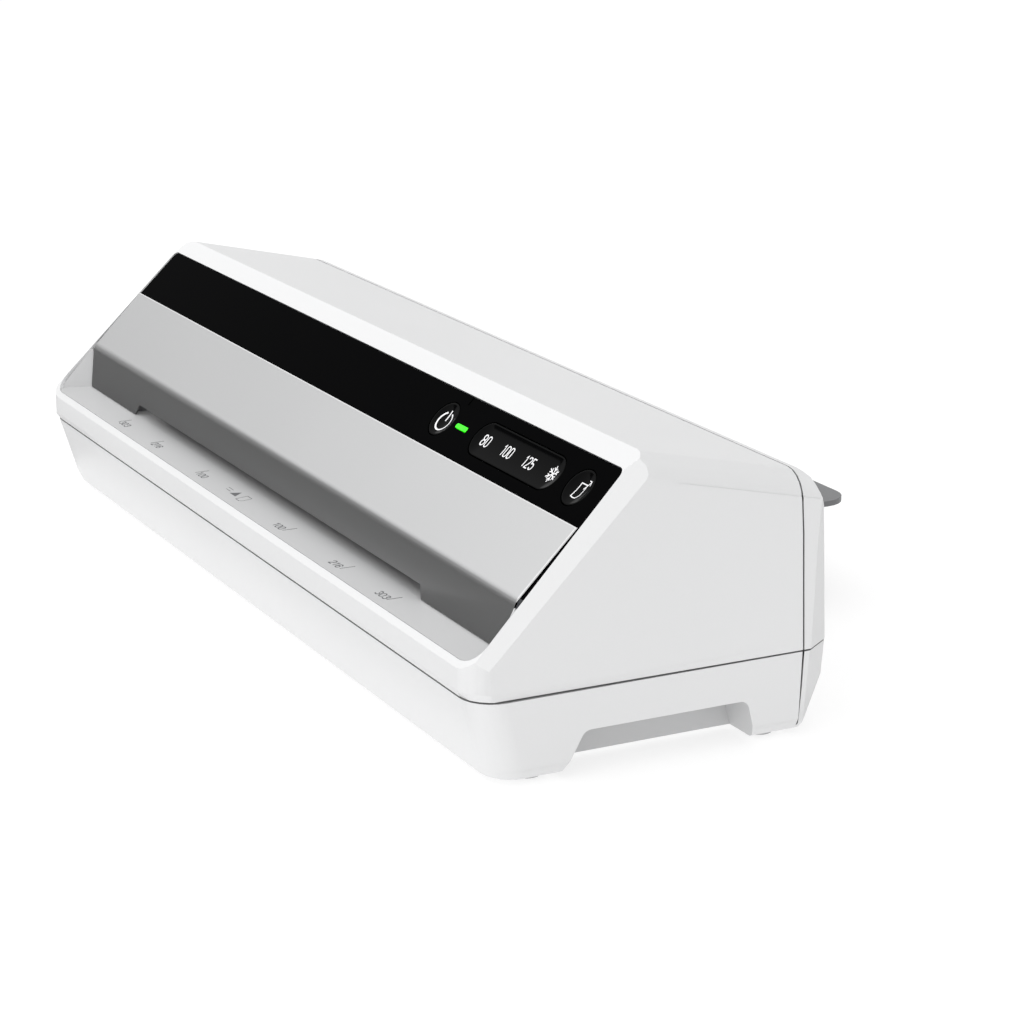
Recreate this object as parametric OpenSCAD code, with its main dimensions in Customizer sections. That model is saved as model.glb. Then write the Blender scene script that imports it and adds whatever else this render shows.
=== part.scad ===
// Desktop pouch laminator, A3 class. Millimetres, +Z up, +Y towards the back.
// The modules are drawn with y = 0 at the front lip and z = 0 on the table,
// and place() moves them so that the origin is the bottom centre of the box.

/* [Housing] */
// Half width of the housing at the seam
seam_hw = 238.4; // [237:0.1:240]
// Height of the front lip above the table
lip_z = 48.5; // [48:0.1:49]
// Height of the horizontal seam between upper and lower housing
seam_z = 34.6; // [34.2:0.1:35]
// Width of the seam gap
seam_gap = 0.7; // [0.5:0.1:1]
// Wall thickness of the moulded shells
wall = 2.5; // [2:0.1:2.8]
// Slope of the front window and the control panel, in degrees
window_angle = 44.8; // [44.6:0.1:45]
// Distance from the front lip to the vertical rear seam
rear_seam_y = 137; // [136.5:0.1:137.5]
// Distance from the front lip to the rear face
rear_y = 152; // [151.5:0.1:152.5]

/* [Slots] */
// Width of the entry slot at its bottom edge
slot_w = 320; // [316:1:322]
// Height of the sheet path above the lip
path_up = 1.5; // [1.3:0.1:1.7]
// Width of the exit slot
exit_w = 328; // [324:1:330]

/* [Drive] */
// Teeth on each roller gear and on the idler
roller_teeth = 22; // [22]
// Teeth on the motor pinion
pinion_teeth = 14; // [14]
// Gear module
gear_m = 1; // [1]
// Diameter of the silicone rollers
roller_d = 21.6; // [21.3:0.1:21.7]
// Diameter of the roller journals
journal_d = 8; // [7.9:0.05:8]
// Height that the upper rollers can lift for a thick pouch
lift = 0.8; // [0.6:0.1:0.8]

/* [Controls] */
// Radius of the round keys
key_r = 8.15; // [8:0.05:8.2]
// Gap round every key
key_gap = 0.35; // [0.3:0.05:0.4]
// Travel of every key
key_travel = 0.8; // [0.6:0.1:0.8]

/* [Exit tray] */
// Width of the exit tray
tray_w = 214; // [210:1:216]
// Distance from the front lip to the far edge of the tray
tray_end = 246; // [240:1:246]
// Thickness of the tray
tray_t = 2.4; // [2:0.1:2.6]

/* [Hidden] */
$fn = 48;

y_mid = (tray_end - 2) / 2;
path_z = lip_z + path_up;
up_z = seam_z + seam_gap / 2;
low_z = seam_z - seam_gap / 2;
floor_z = 1.5;
draft = 0.0534;
// window plane: starts at the lip edge, one point on it at the silver and black boundary
wy = 44.75;
wz = lip_z + 44.64;
// roller centres
cd = gear_m * roller_teeth;
hot_y = 60;
exit_y = hot_y + 2 * cd;
idle_y = hot_y + cd;
low_c = path_z - cd / 2;
up_c = path_z + cd / 2;
pin_z = low_c - gear_m * (roller_teeth + pinion_teeth) / 2;
hinge_y = 155.6;
hinge_z = lip_z - 4.6;
post = [[205, 20], [212, 124]];
rear_post = [222, seam_z + 11.4, 21];
inlet = [-200, lip_z + 14];
key_v = 13.7;
key_x = [98.5, 211.8];
pill_x = [134.5, 188.7];

// ---------- outline helpers ----------
function unit(v) = v / norm(v);
function corner(a, v, b, r, n) = r <= 0 ? [v] :
  let (u = unit(a - v), w = unit(b - v), half = acos(u * w) / 2, t = r / tan(half), o = v + unit(u + w) * r / sin(half),
       p = v + u * t, q = v + w * t, a0 = atan2(p[1] - o[1], p[0] - o[0]), a1 = atan2(q[1] - o[1], q[0] - o[0]),
       da = (a1 - a0 + 540) % 360 - 180)
  [for (i = [0:n]) o + r * [cos(a0 + da * i / n), sin(a0 + da * i / n)]];
function xy(p) = [p[0], p[1]];
// polygon whose corners [x, y, r] are rounded to radius r with n steps
function rpoly(P, n = 4) = [for (i = [0:len(P) - 1]) each corner(xy(P[(i + len(P) - 1) % len(P)]), xy(P[i]),
  xy(P[(i + 1) % len(P)]), P[i][2], n)];
function edge(p, q, d) = let (u = unit(q - p)) [p + [-u[1], u[0]] * d, u];
function cross2(a, b) = a[0] * b[1] - a[1] * b[0];
function meet(l, m) = l[0] + l[1] * cross2(m[0] - l[0], m[1]) / cross2(l[1], m[1]);
// counter-clockwise outline with edge i moved inwards by D[i]
function inset(P, D) = [for (i = [0:len(P) - 1]) let (n = len(P), j = (i + n - 1) % n)
  meet(edge(P[j], P[i], D[j]), edge(P[i], P[(i + 1) % n], D[i]))];

module place() { translate([0, -y_mid, 0]) children(); }
// side profile (y, z) run along x
module along_x(x0, x1) { translate([x0, 0, 0]) rotate([90, 0, 90]) linear_extrude(x1 - x0) children(); }
// front profile (x, z) run along y
module along_y(y0, y1) { translate([0, y1, 0]) rotate([90, 0, 0]) linear_extrude(y1 - y0) children(); }
// x axis rod
module rod(r, x0, x1) { translate([x0, 0, 0]) rotate([0, 90, 0]) cylinder(r = r, h = x1 - x0); }
module at_yz(y, z) { translate([0, y, z]) children(); }
module both() { children(); mirror([1, 0, 0]) children(); }
// local panel frame: x right, y up the slope, z out of the panel
module on_panel() { translate([0, wy, wz]) rotate([window_angle, 0, 0]) children(); }
module beyond(p, n) { translate(p) rotate([0, -asin(n[2] / norm(n)), atan2(n[1], n[0])]) translate([0, -500, -500]) cube([500, 1000, 1000]); }

// ---------- upper housing ----------
top_y = 72.5;
top_z = lip_z + 69.2;
top_slope = 12.66;
function upper_side(d) = inset([[-0.6, up_z], [rear_seam_y, up_z], [rear_seam_y, top_z - (rear_seam_y - top_y) * tan(top_slope)],
  [top_y, top_z], [64.3, lip_z + 64.05], [0.1, lip_z + 0.3], [-2, lip_z - 2.4], [-2, up_z + 3]],
  d > 0 ? [-20, -20, d, d, d, d, d, d] : [0, 0, 0, 0, 0, 0, 0, 0]);
function section(d) = [[-(300 - d), -400], [300 - d, -400], [235.6 - d, -14], [234.4 - d, -2], [222.4, 0 - d], [-222.4, 0 - d],
  [-(234.4 - d), -2], [-(235.6 - d), -14]];
function top_round(d) = rpoly([[-(275 - d), -400, 0], [275 - d, -400, 0], [234.6 - d, -9, 0], [234.1 - d, -d, 11 - d],
  [-(234.1 - d), -d, 11 - d], [-(234.6 - d), -9, 0]], 5);
module upper_solid(d = 0) {
  difference() {
    intersection() {
      along_x(-250, 250) polygon(upper_side(d));
      // drafted sides
      along_y(-30, rear_y + 30) polygon([[-(seam_hw - d + 3), seam_z - 56], [seam_hw - d + 3, seam_z - 56],
        [seam_hw - d - draft * 150, seam_z + 150], [-(seam_hw - d - draft * 150), seam_z + 150]]);
      // soft shoulders that follow the sloping roof
      translate([0, top_y, top_z]) rotate([-top_slope, 0, 0]) along_y(-150, 150) polygon(top_round(d));
      // rounded front corners
      translate([0, 0, -10]) linear_extrude(200) polygon(rpoly([[-(seam_hw - d + 1), -2 + (d > 0 ? d : 0), 14 - d],
        [seam_hw - d + 1, -2 + (d > 0 ? d : 0), 14 - d], [seam_hw - d + 1, 200, 0], [-(seam_hw - d + 1), 200, 0]], 6));
    }
    // bevelled window frame, right and left
    both() on_panel() beyond([229.6 - d * 1.05, 27.5, -d * 0.5], [1, 0.0532, 0.71]);
  }
}
// window outline in the panel frame, drawn smaller by g all round
module window(g, r, v0 = -63.2, r0 = 0) { polygon(rpoly([[-(229.6 + (27.5 - v0) * 0.0532 - g), v0, r0], [229.6 + (27.5 - v0) * 0.0532 - g, v0, r0],
  [229.6 - g, 27.5 - g, r], [-(229.6 - g), 27.5 - g, r]], 5)); }
module boss(x, y, z0, z1, r = 4.2, hole = 1.6) { translate([x, y, z0]) difference() { cylinder(r = r, h = z1 - z0);
  translate([0, 0, -1]) cylinder(r = hole, h = z1 - z0 - 1); } }
module upper_housing() { color("whitesmoke") {
  difference() {
    upper_solid(0);
    upper_solid(wall);
    on_panel() translate([0, 0, -9]) linear_extrude(30) window(0, 3.5, -63.2, 9);
  }
  // screw posts, joined to the walls by ribs
  both() { boss(post[0][0], post[0][1], up_z + 0.1, lip_z - 3.4);
    translate([post[0][0] - 1.5, 0.2, up_z + 1]) cube([3, 16.2, 8]);
    boss(post[1][0], post[1][1], up_z + 0.1, up_z + 26);
    translate([215.8, 122.8, up_z + 4]) cube([20.4, 2.4, 20]);
    difference() {
      union() { translate([rear_post[0], 0, rear_post[1]]) along_y(rear_seam_y - 14, rear_seam_y - 0.1) circle(r = 4);
        translate([rear_post[0] + 3, rear_seam_y - 12, rear_post[1] - 1]) cube([11.2, 11.8, 2]); }
      translate([rear_post[0], 0, rear_post[1]]) along_y(rear_seam_y - 12.5, rear_seam_y + 1) circle(r = 1.6); }
  }
} }

// ---------- lower housing ----------
// plan outline of the base, front edge at yf, half width hw, corner radius r
function base_plan(yf, hw, r, yb) = rpoly([[-hw, yf, r], [hw, yf, r], [hw, yb, 0], [-hw, yb, 0]], 6);
module slab(z, P) { translate([0, 0, z]) linear_extrude(0.01) polygon(P); }
module base_solid(d) {
  yb = rear_seam_y + (d > 0 ? 5 : 0);
  hull() {
    slab(low_z + (d > 0 ? 2 : -0.01), base_plan(-0.6 + d, seam_hw - 0.2 - d, 12.8 - d, yb));
    slab(7, base_plan(7.2 + d, seam_hw - 1.8 - d, 13 - d, yb));
    slab(floor_z + 1.2 + d * 0.8, base_plan(9 + d, seam_hw - 4 - d, 12 - d, yb));
    slab(floor_z + d, base_plan(11.4 + d, seam_hw - 6.4 - d, 10 - d, yb));
  }
}
module hand_hold(x0, x1, g) { along_x(x0, x1) polygon(rpoly([[33 - g, -5, 0], [118 + g + 2, -5, 0], [113.8 + g, floor_z + 16.6 + g, 4],
  [44.6 - g, floor_z + 16.6 + g, 4]], 4)); }
module lower_housing() { color("whitesmoke") difference() {
  union() {
    difference() { base_solid(0); base_solid(wall); }
    // walls of the hand holds
    intersection() { base_solid(0); both() hand_hold(215.2, 245, 2.3); }
    // screw posts
    both() { for (p = post) translate([p[0], p[1], floor_z + 1]) cylinder(r = 4.6, h = low_z - floor_z - 1.3);
      translate([rear_post[0], 0, rear_post[2]]) along_y(rear_seam_y - 8, rear_seam_y - 0.1) circle(r = 4);
      translate([rear_post[0] + 3, rear_seam_y - 7.5, rear_post[2] - 1]) cube([11, 7.4, 2]); }
    // seats of the side frames
    both() for (y = [46, 120]) translate([181, y, floor_z + 2]) cylinder(r = 4.5, h = 3);
  }
  both() hand_hold(217.5, 260, 0);
  both() { for (p = post) translate([p[0], p[1], -1]) { cylinder(r = 2, h = 60); cylinder(r = 3.6, h = 6); }
    translate([rear_post[0], 0, rear_post[2]]) along_y(rear_seam_y - 7, rear_seam_y + 1) circle(r = 1.6);
    for (y = [46, 120]) translate([181, y, floor_z + 0.8]) cylinder(r = 1.3, h = 10); }
  // bottom vents
  for (i = [-8:8]) translate([i * 16 - 2, 40, -1]) cube([4, 60, 8]);
} }

// ---------- rear covers ----------
function rear_plan(d, yr, hw) = [[-(hw - d), 100], [hw - d, 100], [hw - d, yr - 11.7 - d * 0.35], [hw - 8.2 - d * 0.35, yr - d],
  [-(hw - 8.2 - d * 0.35), yr - d], [-(hw - d), yr - 11.7 - d * 0.35]];
module rear_upper_solid(d = 0) {
  intersection() {
    along_x(-250, 250) polygon(inset([[rear_seam_y + seam_gap, up_z], [rear_y - 0.2, up_z], [rear_y - 4.3, lip_z + 40.5], [143.5, lip_z + 51.2],
      [141, lip_z + 53.8], [rear_seam_y + seam_gap, lip_z + 54.56]], d > 0 ? [-10, d, d, d, d, -10] : [0, 0, 0, 0, 0, 0]));
    along_y(100, rear_y + 30) polygon([[-(seam_hw - d + 3), seam_z - 56], [seam_hw - d + 3, seam_z - 56],
      [seam_hw - d - draft * 150, seam_z + 150], [-(seam_hw - d - draft * 150), seam_z + 150]]);
    translate([0, top_y, top_z]) rotate([-top_slope, 0, 0]) along_y(-50, 150) polygon(top_round(d));
    linear_extrude(200) polygon(rear_plan(d, rear_y, seam_hw + 0.2));
  }
}
module rear_upper_cover() { color("whitesmoke") {
  difference() {
    union() {
      difference() { rear_upper_solid(0); rear_upper_solid(wall); }
      // screw posts
      both() translate([rear_post[0], 0, rear_post[1]]) along_y(rear_seam_y + 0.8, rear_y - 1.8) circle(r = 4);
      // raised frame round the inlet
      translate([inlet[0], 0, inlet[1]]) along_y(rear_y - 4.6, rear_y) square([34, 27], center = true);
      // stops that the open tray lies on
      for (x = [-66, 60]) along_x(x, x + 6) polygon([[rear_y - 2.4, lip_z - 11.6], [rear_y + 9.6, lip_z - 10.6], [rear_y + 9.6, hinge_z + 0.3],
        [rear_y + 7.6, hinge_z + 0.3], [rear_y + 7.4, hinge_z - 3.6], [rear_y - 2.4, hinge_z - 3.6]]);
    }
    // exit slot
    translate([-exit_w / 2, rear_seam_y, lip_z - 1.2]) cube([exit_w, 40, 7.2]);
    // vents above the slot
    for (i = [-21:21]) translate([i * 8 - 1.5, rear_seam_y + 4, lip_z + 16]) cube([3, 30, 18]);
    // inlet cut-out
    translate([inlet[0] - 14, rear_seam_y + 3, inlet[1] - 10.2]) cube([28, 30, 20.4]);
    both() { translate([rear_post[0], 0, rear_post[1]]) along_y(rear_seam_y - 1, rear_y + 5) circle(r = 1.9);
      translate([rear_post[0], 0, rear_post[1]]) along_y(rear_y - 3, rear_y + 5) circle(r = 3.4); }
  }
  // hinge lugs of the exit tray
  both() difference() {
    union() { at_yz(hinge_y, hinge_z) rod(3.2, tray_w / 2 + 1, tray_w / 2 + 6);
      translate([tray_w / 2 + 1, rear_y - 2.6, hinge_z - 3.2]) cube([5, hinge_y - rear_y + 2.6, 6.4]); }
    at_yz(hinge_y, hinge_z) rod(2.05, tray_w / 2, tray_w / 2 + 7);
  }
} }
module rear_lower_solid(d) {
  y0 = rear_seam_y + seam_gap - (d > 0 ? 10 : 0);
  function plan(yr, hw) = let (yc = max(rear_seam_y + seam_gap + 1.9, yr - 11.7 - d * 0.35)) [[-(hw - d), y0], [hw - d, y0], [hw - d, yc],
    [hw - 8.2 - d * 0.35, yr - d], [-(hw - 8.2 - d * 0.35), yr - d], [-(hw - d), yc]];
  hull() {
    slab(low_z + (d > 0 ? 2 : -0.01), plan(rear_y - 0.2, seam_hw));
    slab(20.5, plan(rear_y - 0.7, seam_hw - 1));
    slab(floor_z + 3 + d * 0.5, plan(rear_y - 7, seam_hw - 3));
    slab(floor_z + d, plan(rear_y - 8.8, seam_hw - 6.4));
  }
}
module rear_lower_cover() { color("whitesmoke") difference() {
  union() { difference() { rear_lower_solid(0); rear_lower_solid(wall); }
    both() translate([rear_post[0], 0, rear_post[2]]) along_y(rear_seam_y + 0.8, rear_y - 2) circle(r = 4); }
  both() { translate([rear_post[0], 0, rear_post[2]]) along_y(rear_seam_y - 1, rear_y + 5) circle(r = 1.9);
    translate([rear_post[0], 0, rear_post[2]]) along_y(rear_y - 3.4, rear_y + 5) circle(r = 3.4); }
  // cool air inlets
  for (i = [-9:9]) translate([i * 10 - 1.5, rear_seam_y + 4, 14]) cube([3, 30, 14]);
} }

// ---------- front fascia, panel, shelf ----------
s = sin(window_angle);
c = cos(window_angle);
// point in the side plane from panel coordinates (v up the slope, h out of it)
function pv(v, h) = [wy + v * c - h * s, wz + v * s + h * c];
module silver_fascia() { color("silver") difference() {
  along_x(-230.6, 230.6) polygon(rpoly([concat(pv(0, 0.5), [0]), concat(pv(-34.6, 0.5), [8]), [15.2, lip_z + 1.7, 0],
    [16.1, lip_z + 1.5, 0], concat(pv(-34.9, -0.4), [7.1]), concat(pv(0, -0.4), [0])], 5));
  // sides run in towards the shelf below the bend
  both() along_y(0, 60) polygon([[223.2, lip_z - 5], [223.2, lip_z + 1.6], [229.7, lip_z + 18], [230.6, lip_z + 23], [240, lip_z + 23], [240, lip_z - 5]]);
  // slot cut-out with slanted ends
  along_y(0, 30) polygon([[-slot_w / 2 - 0.4, lip_z - 3], [slot_w / 2 + 0.4, lip_z - 3], [slot_w / 2, lip_z + 1.4], [slot_w / 2 - 3.4, lip_z + 6.7],
    [-slot_w / 2 + 3.4, lip_z + 6.7], [-slot_w / 2, lip_z + 1.4]]);
} }
module pill(r, z0, z1) { translate([0, 0, z0]) { for (x = pill_x) translate([x, key_v, 0]) cylinder(r = r, h = z1 - z0);
  translate([pill_x[0], key_v - r, 0]) cube([pill_x[1] - pill_x[0], 2 * r, z1 - z0]); } }
module control_panel() { color([0.03, 0.03, 0.03]) on_panel() difference() {
  union() { translate([0, 0, -2.6]) linear_extrude(2.1) window(0.35, 3.2, -32.5);
    // hooks under the top edge of the window
    for (x = [-200, -100, 0, 60, 160, 200]) translate([x - 6, 24.2, -4.8]) { cube([12, 2.4, 2.25]); cube([12, 4.8, 1.7]); } }
  for (x = key_x) translate([x, key_v, -6]) cylinder(r = key_r + key_gap, h = 12);
  pill(key_r - 0.15 + key_gap, -6, 6);
  translate([109.4, key_v - 1.3, -6]) cube([9.8, 2.6, 12]);
  // shallow nick at the top edge
  translate([106.5, 23.2, -0.8]) cube([16.5, 10, 5]);
} }
module round_key(x) { difference() {
  translate([x, key_v, -3.6]) { cylinder(r = key_r, h = 3); cylinder(r = key_r + 1.2, h = 0.65); }
  translate([x, key_v, 20.5]) sphere(r = 22.35, $fn = 96);
} }
module power_button() { color([0.02, 0.02, 0.02]) on_panel() round_key(key_x[0]); }
module release_button() { color([0.02, 0.02, 0.02]) on_panel() round_key(key_x[1]); }
module mode_button() { color([0.02, 0.02, 0.02]) on_panel() difference() {
  union() { pill(key_r - 0.2, -3.6, -0.6); pill(key_r + 1, -3.6, -2.95); }
  union() { translate([0, key_v, 20.5]) rod(22.35, pill_x[0], pill_x[1]);
    for (x = pill_x) translate([x, key_v, 20.5]) sphere(r = 22.35, $fn = 96); }
} }
module status_light() { color("limegreen") on_panel() translate([109.6, key_v - 1.1, -5.6]) cube([9.4, 2.2, 5.1]); }
module cheek(A, B, C, t) {
  u = unit(A - C);
  n = unit(cross(B - C, A - C));
  w = cross(n, u);
  multmatrix([[u[0], w[0], n[0], C[0]], [u[1], w[1], n[1], C[1]], [u[2], w[2], n[2], C[2]], [0, 0, 0, 1]])
    linear_extrude(t) polygon([[-0.6, 1.2], [norm(A - C) + 0.2, 1.2], [norm(A - C) + 0.2, 0], [(B - C) * u + 0.6, (B - C) * w + 0.2],
      [(B - C) * u - 0.6, (B - C) * w + 0.2], [-0.6, 0]]);
}
module entry_shelf() { color("gainsboro") {
  intersection() {
    union() {
      difference() {
        along_x(-236, 236) polygon([[0.2, lip_z + 0.2], [0.2, lip_z - 2.2], [15.5, lip_z - 1.2], [26, lip_z - 1.2], [47, lip_z - 1.8],
          [47, lip_z + 0.6], [26, lip_z + 1.3], [15.5, lip_z + 1.3]]);
        // plan: runs in from the lip to the plate, then a throat as wide as the sheets
        both() translate([0, 0, lip_z - 8]) linear_extrude(20) polygon([[165, 60], [165, 20], [167, 17.5], [224.4, 17.5], [224.4, 15.8],
          [232.6, 2.6], [234, -5], [260, -5], [260, 60]]);
      }
      // slanted cheeks between the shelf and the window edge
      both() cheek([231.6, 2.4, lip_z + 0.4], [231.7, 19.2, lip_z + 18.6], [223.7, 15.9, lip_z + 0.9], 0.9);
    }
    // follows the window's rounded front corners
    on_panel() translate([0, 0, -60]) linear_extrude(80) window(0.3, 3.5, -62.9, 8.7);
  }
} }

// ---------- feet and screws ----------
feet_at = [[223.5, 27], [-223.5, 27], [224, 126.5], [-224, 126.5]];
module rubber_feet() { color([0.2, 0.2, 0.2]) for (p = feet_at) translate([p[0], p[1], 0]) cylinder(r = 6, h = floor_z); }
// pan head screw pointing up from z = 0
module screw(head_r, head_h, r, l) { difference() { cylinder(r = head_r, h = head_h); translate([-head_r, -0.35, -0.1]) cube([2 * head_r, 0.7, 0.6]); }
  translate([0, 0, head_h]) cylinder(r = r, h = l); }
module base_screws() { color("dimgray") both() for (i = [0, 1]) translate([post[i][0], post[i][1], floor_z + 0.9]) {
  difference() { cylinder(r = 3.2, h = 2.5); translate([-4, -0.4, -0.1]) cube([8, 0.8, 0.8]); }
  cylinder(r = 1.55, h = (i == 0 ? lip_z - 6.4 : up_z + 22) - floor_z); } }
module rear_screws() { color("dimgray") both() for (i = [1, 2]) translate([rear_post[0], rear_y - (i == 1 ? 1.6 : 2), rear_post[i]]) rotate([90, 0, 0])
  screw(3.1, 1.3, 1.55, i == 1 ? 22 : 18); }

// ---------- side frames ----------
slot_y = 8.3;
frame_out = [[38, 8], [128, 8], [128, 66], [118, 86], [52, 86], [45, 74], [38, 60]];
tie_at = [[46, 20], [120, 70], [120, 18]];
module frame_plate() { difference() {
  polygon(rpoly([for (p = frame_out) [p[0], p[1], 3]], 3));
  for (y = [hot_y, exit_y]) { translate([y, low_c]) circle(r = 7.05);
    translate([y - slot_y, up_c - 8.3]) square([2 * slot_y, 27.4]); }
  for (p = tie_at) translate(p) circle(r = 1.7);
  translate([66, 16]) circle(r = 1.5); translate([98, 16]) circle(r = 1.5); translate([idle_y, 59]) circle(r = 1.5);
  translate([idle_y, low_c]) circle(r = 2.5);
} }
module side_frame() {
  along_x(170, 172) frame_plate();
  difference() { for (y = [46, 120]) translate([171.5, y - 7, 6.6]) cube([16, 14, 2]);
    for (y = [46, 120]) translate([181, y, 0]) cylinder(r = 1.8, h = 20); }
}
module right_side_frame() { color("lightsteelblue") side_frame(); }
module left_side_frame() { color("lightsteelblue") mirror([1, 0, 0]) side_frame(); }
module tie_bars() { color("silver") for (p = tie_at) at_yz(p[0], p[1]) difference() { rod(4, -169.95, 169.95); rod(1.6, -171, -155); rod(1.6, 155, 171); } }
module frame_screws() { color("dimgray") both() {
  for (y = [46, 120]) translate([181, y, 8.65]) { cylinder(r = 3, h = 1.8); translate([0, 0, -6]) cylinder(r = 1.25, h = 6.2); }
  for (p = tie_at) at_yz(p[0], p[1]) { rod(3, 172.05, 174); rod(1.55, 158, 172.1); } } }
module lower_roller_bushes() { color("peru") both() for (y = [hot_y, exit_y]) at_yz(y, low_c) difference() {
  union() { rod(7, 168.6, 173.6); rod(9, 168.6, 169.9); } rod(journal_d / 2 + 0.05, 160, 180); } }
module slide_bush(y) { both() at_yz(y, up_c) difference() {
  union() { translate([169.6, -8, -8]) cube([4, 16, 16]); translate([168.4, -10, -8]) cube([1.2, 20, 16]); }
  rod(journal_d / 2 + 0.05, 160, 180); } }
module upper_hot_bushes() { color("peru") slide_bush(hot_y); }
module upper_exit_bushes() { color("peru") slide_bush(exit_y); }
// compression spring standing on a bush, ground flat by its end turns
spring_h = 11;
function coil(t, turns, r) = [r * cos(360 * t * turns), r * sin(360 * t * turns), spring_h * t];
module spring(turns = 4.5, r = 2, w = 0.45, k = 6, m = 11) {
  n = floor(turns * m);
  pts = [for (i = [0:n]) let (t = i / n, a = 360 * t * turns) for (j = [0:k - 1]) let (b = 360 * j / k)
    [(r + w * cos(b)) * cos(a), (r + w * cos(b)) * sin(a), w + (spring_h - 2 * w) * t + w * sin(b)]];
  polyhedron(points = pts, faces = concat([[for (j = [0:k - 1]) j]], [[for (j = [k - 1:-1:0]) n * k + j]],
    [for (i = [0:n - 1]) for (j = [0:k - 1]) [i * k + j, (i + 1) * k + j, (i + 1) * k + (j + 1) % k, i * k + (j + 1) % k]]));
}
module springs(y) { both() translate([171.6, y, up_c + 8.05]) spring(); }
module hot_springs() { color("gray") springs(hot_y); }
module exit_springs() { color("gray") springs(exit_y); }

// ---------- rollers ----------
module shaft(y, z) { color("silver") at_yz(y, z) { rod(8.3, -166, 166); rod(journal_d / 2, -186.4, 176); } }
module sleeve(y, z) { color([0.75, 0.3, 0.2]) at_yz(y, z) difference() { rod(roller_d / 2, -165, 165); rod(8.35, -170, 170); } }
module lower_hot_shaft() { shaft(hot_y, low_c); }
module upper_hot_shaft() { shaft(hot_y, up_c); }
module lower_exit_shaft() { shaft(exit_y, low_c); }
module upper_exit_shaft() { shaft(exit_y, up_c); }
module lower_hot_sleeve() { sleeve(hot_y, low_c); }
module upper_hot_sleeve() { sleeve(hot_y, up_c); }
module lower_exit_sleeve() { sleeve(exit_y, low_c); }
module upper_exit_sleeve() { sleeve(exit_y, up_c); }

// ---------- gears ----------
// involute tooth: angle half-width at radius q, thinned for backlash
function inv(a) = tan(a) * 180 / PI - a;
function half_tooth(N, q) = let (rp = gear_m * N / 2, rb = rp * cos(20), a = q > rb ? acos(rb / q) : 0)
  90 / N - 0.16 * 180 / PI / (2 * rp) + inv(20) - inv(a);
function gear_pts(N, turn) = let (rp = gear_m * N / 2, rb = rp * cos(20), rr = rp - 1.25 * gear_m, ra = rp + 0.95 * gear_m,
  R = [rr, max(rb, rr), rp - 0.3 * gear_m, rp + 0.25 * gear_m, ra])
  [for (k = [0:N - 1]) each concat([for (q = R) let (a = turn + 360 * k / N - half_tooth(N, q)) q * [cos(a), sin(a)]],
    [for (i = [len(R) - 1:-1:0]) let (q = R[i], a = turn + 360 * k / N + half_tooth(N, q)) q * [cos(a), sin(a)]])];
module gear(N, y, z, turn, bore, x0 = -184.4, x1 = -174.6) { at_yz(y, z) difference() {
  union() { along_x(x0, x1) polygon(gear_pts(N, turn)); rod(gear_m * N / 2 - 3.4, x0 - 0.6, x1 + 0.6); }
  rod(bore, x0 - 5, x1 + 5); } }
pitch = 360 / roller_teeth;
module lower_hot_gear() { color("ivory") gear(roller_teeth, hot_y, low_c, 90, journal_d / 2 + 0.02); }
module upper_hot_gear() { color("ivory") gear(roller_teeth, hot_y, up_c, 270 + pitch / 2, journal_d / 2 + 0.02); }
module lower_exit_gear() { color("ivory") gear(roller_teeth, exit_y, low_c, 90, journal_d / 2 + 0.02); }
module upper_exit_gear() { color("ivory") gear(roller_teeth, exit_y, up_c, 270 + pitch / 2, journal_d / 2 + 0.02); }
module idler_gear() { color("ivory") gear(roller_teeth, idle_y, low_c, 180, 3.05); }
module idler_stud() { color("silver") at_yz(idle_y, low_c) { rod(3, -187.9, -172.6); rod(2.4, -172.7, -169.2); rod(4.4, -173.6, -172.1); } }
module motor_pinion() { color("goldenrod") { gear(pinion_teeth, idle_y, pin_z, 90, 2.4);
  at_yz(idle_y, pin_z) rod(2.5, -198, -174.2); } }

// ---------- motor ----------
motor_z = pin_z + 9.5;
standoffs = [[66, 16], [98, 16], [idle_y, 59]];
module motor_bracket() { color("lightsteelblue") {
  along_x(-190, -188) difference() {
    polygon(rpoly([[47, 12, 3], [117, 12, 3], [117, 44, 3], [94, 64, 3], [70, 64, 3], [47, 44, 3]], 3));
    translate([idle_y, pin_z]) circle(r = 5.5);
    for (k = [-29, 29]) translate([idle_y + k, motor_z]) circle(r = 1.6);
  }
  for (p = standoffs) at_yz(p[0], p[1]) difference() { rod(3, -188.05, -172.05); rod(1.2, -180, -170); }
} }
module drive_motor() { color("gray") difference() {
  union() { at_yz(idle_y, motor_z) rod(25, -210, -190.9);
    at_yz(idle_y, pin_z) rod(5, -190.95, -190.15);
    for (k = [-29, 29]) at_yz(idle_y + k, motor_z) rod(4.6, -191.9, -190.1);
    translate([-191.9, idle_y - 29, motor_z - 4.6]) cube([1.8, 58, 9.2]); }
  for (k = [-29, 29]) at_yz(idle_y + k, motor_z) rod(1.7, -200, -180);
  at_yz(idle_y, pin_z) rod(2.57, -200, -180);
} }
module motor_screws() { color("dimgray") for (k = [-29, 29]) at_yz(idle_y + k, motor_z) { rod(2.8, -193.8, -191.95); rod(1.45, -192, -186.5); } }

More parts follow.
